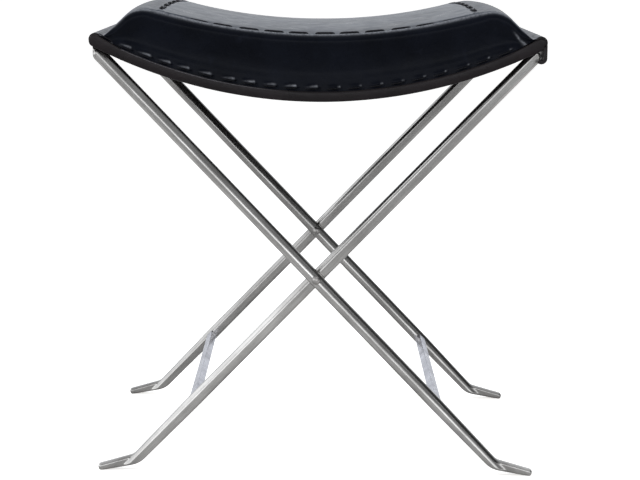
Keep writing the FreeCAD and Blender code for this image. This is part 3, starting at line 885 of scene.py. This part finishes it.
def top_thread(way):
    """The long stitches along the top's front edge, way -1, or its rear edge, way 1."""
    parts = []
    share = np.linspace(0, 1, 15)
    for i in range(int(2 * END_SEAM_X / LONG_PITCH)):
        start = -END_SEAM_X + 0.004 + i * LONG_PITCH + 0.0007 * math.sin(2.3 * i)
        xs = np.linspace(start, start + LONG_LENGTH, 15)
        zs = surface_z(xs, TOP_SEAM_Y) + 0.0008 - 0.0018 * (2 * share - 1) ** 8
        path = np.stack([xs, np.full(15, way * TOP_SEAM_Y), zs], axis=1)
        parts.append(skin(tube(path, LONG_THREAD_RADIUS)))
    return joined(parts)


def lacing(sign):
    """The zigzag over an end seam, sign -1 at the left and 1 at the right."""
    parts = []
    count = int(2 * (TOP_SEAM_Y - 0.004) / LACE_PITCH)
    first = -(count - 1) * LACE_PITCH / 2
    share = np.linspace(0, 1, 9)
    for i in range(count):
        for slope in (-1, 1):
            xs = END_SEAM_X + LACE_HALF * (2 * share - 1)
            ys = first + i * LACE_PITCH + slope * LACE_PITCH / 2 * (share - 0.5)
            zs = surface_z(xs, ys) + 0.0004 - 0.0016 * (2 * share - 1) ** 6
            parts.append(skin(tube(np.stack([sign * xs, ys, zs], axis=1), LONG_THREAD_RADIUS)))
    return joined(parts)


threads = {}
for end, way in (("front", -1), ("rear", 1)):
    threads[f"{end}_foot_thread"] = (wall_thread(way), f"{end}_base_stitches")
    threads[f"{end}_top_thread"] = (top_thread(way), f"{end}_top_stitches")
for side, sign in (("left", -1), ("right", 1)):
    threads[f"{side}_lace"] = (lacing(sign), f"{side}_end_lacing")
thread_pieces = []
for name, (mesh, node) in threads.items():
    made = piece(name, *mesh, [thread])
    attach(made, "seat")
    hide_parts(node)
    thread_pieces.append(made)

for made in (cover, hide, *thread_pieces):
    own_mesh(made)

# Camera

CAMERA_PLACE = (0.0, -2.176, 0.5668)
CAMERA_ANGLES = (8.87, 0.11, 0.47)  # down, to the right, and rolled, in degrees
FOCAL_PIXELS, IMAGE_WIDTH, SENSOR_WIDTH = 1900, 640, 36

camera = bpy.data.objects.new("camera", bpy.data.cameras.new("camera"))
bpy.context.scene.collection.objects.link(camera)
pitch, yaw, roll_angle = (math.radians(a) for a in CAMERA_ANGLES)
forward = Vector(
    (math.sin(yaw) * math.cos(pitch), math.cos(yaw) * math.cos(pitch), -math.sin(pitch))
)
level = Vector((math.cos(yaw), -math.sin(yaw), 0))
rise = level.cross(forward)
right = math.cos(roll_angle) * level + math.sin(roll_angle) * rise
up = -math.sin(roll_angle) * level + math.cos(roll_angle) * rise
turn = Matrix((right, up, -forward)).transposed()
camera.matrix_world = Matrix.Translation(CAMERA_PLACE) @ turn.to_4x4()
camera.data.sensor_width = SENSOR_WIDTH
camera.data.lens = FOCAL_PIXELS / IMAGE_WIDTH * SENSOR_WIDTH
bpy.context.scene.camera = camera

# Light, floor and background


LAMP_TARGET = (0, 0, 0.3)


def lamp(name, place, size, energy, colour=(1, 1, 1)):
    """A soft lamp that looks at the stool and that neither the camera nor gloss sees."""
    data = bpy.data.lights.new(name, "AREA")
    data.shape, data.size, data.size_y = "RECTANGLE", size[0], size[1]
    data.energy, data.color = energy, colour
    obj = bpy.data.objects.new(name, data)
    obj.location = place
    obj.rotation_euler = (Vector(LAMP_TARGET) - Vector(place)).to_track_quat("-Z", "Y").to_euler()
    obj.visible_camera = obj.visible_glossy = False
    bpy.context.scene.collection.objects.link(obj)


lamp("overhead", (0.0, 0.35, 2.2), (2.4, 1.8), 34, (0.96, 0.98, 1.0))
lamp("left_key", (-1.7, -1.1, 1.5), (0.9, 1.3), 16)
lamp("right_fill", (1.9, -0.7, 1.1), (0.8, 1.2), 8)

# What gloss sees: levels against the height of the direction, from -1 to 1, then across X
FRONT_GLOSS = ((-0.02, 0.1), (0.03, 1.0), (0.29, 0.95), (0.38, 0.14), (0.55, 0.16), (0.85, 0.36))
REAR_GLOSS = ((-0.02, 0.34), (0.34, 0.34), (0.8, 0.34))
RIGHT_DARK = (0.58, 0.78, 1.0, 0.08)
LEFT_BOX = (-0.62, -0.69, 0.0, 0.75)
GLOSS_LEVEL = 3.0
AMBIENT = 0.5
ROOM_TINT = (0.93, 0.96, 1.0)


def studio():
    """White to the camera. Gloss sees a bright low strip in front, an even rear, a lit left side
    and a dark right side. All other rays see an even, slightly blue room."""
    world = bpy.data.worlds.new("studio")
    bpy.context.scene.world = world
    world.use_nodes = True
    s = Nodes(world.node_tree)
    ray = s.node("ShaderNodeLightPath").outputs
    split = s.node("ShaderNodeSeparateXYZ")
    s.link(s.node("ShaderNodeTexCoord").outputs["Generated"], split.inputs[0])
    x, y, z = split.outputs
    height = s.span(z, -1.0, 1.0, 0.0, 1.0)
    strips = [
        s.ramp(height, *((0.5 + place / 2, (level,) * 3) for place, level in stops))
        for stops in (FRONT_GLOSS, REAR_GLOSS)
    ]
    depth = s.blended(s.span(y, -0.2, 0.2, 0.0, 1.0), *strips)
    shaded = s.maths("MULTIPLY", depth, s.span(x, *RIGHT_DARK))
    boxes = s.maths("MAXIMUM", shaded, s.span(x, *LEFT_BOX))
    glossy = ray["Is Glossy Ray"]
    gloss = s.maths("MULTIPLY", glossy, s.maths("MULTIPLY", boxes, GLOSS_LEVEL))
    ambient = s.maths("MULTIPLY", s.maths("SUBTRACT", 1.0, glossy), AMBIENT)
    seen = s.maths("MAXIMUM", ray["Is Camera Ray"], ray["Is Transmission Ray"])
    level = s.maths("MAXIMUM", seen, s.maths("ADD", ambient, gloss))
    background = s.tree.nodes["Background"]
    s.link(s.mixed(ray["Is Camera Ray"], ROOM_TINT, (1, 1, 1)), background.inputs["Color"])
    s.link(level, background.inputs["Strength"])


FLOOR_REACH = 30.0
FLOOR_GLOW = 0.64


def floor():
    """A wide pale floor that shows white to the camera and keeps the stool's shadow. From below it
    is clear, so that the underside can be looked at."""
    far = FLOOR_REACH
    corners = [(-far, -far, 0), (far, -far, 0), (far, far, 0), (-far, far, 0)]
    made = piece("floor", corners, [(0, 1, 2, 3)], [], smooth=False)
    s = Surface("pale_floor")
    pale = s.ramp(s.noise(3.0), (0.3, (0.80, 0.80, 0.80)), (0.7, (0.83, 0.83, 0.83)))
    s.link(pale, s.shader.inputs["Base Color"])
    s.constants(Roughness=0.9, Specular_IOR_Level=0.1, Emission_Color=(1.0, 0.98, 0.95, 1))
    seen = s.node("ShaderNodeLightPath").outputs["Is Camera Ray"]
    s.link(s.maths("MULTIPLY", seen, FLOOR_GLOW), s.shader.inputs["Emission Strength"])
    clear = s.node("ShaderNodeBsdfTransparent")
    sides = s.node("ShaderNodeMixShader")
    s.link(s.node("ShaderNodeNewGeometry").outputs["Backfacing"], sides.inputs[0])
    s.link(s.shader.outputs[0], sides.inputs[1])
    s.link(clear.outputs[0], sides.inputs[2])
    s.link(sides.outputs[0], s.tree.nodes["Material Output"].inputs["Surface"])
    made.data.materials.append(s.material)


studio()
floor()
bpy.context.scene.view_settings.view_transform = "Standard"
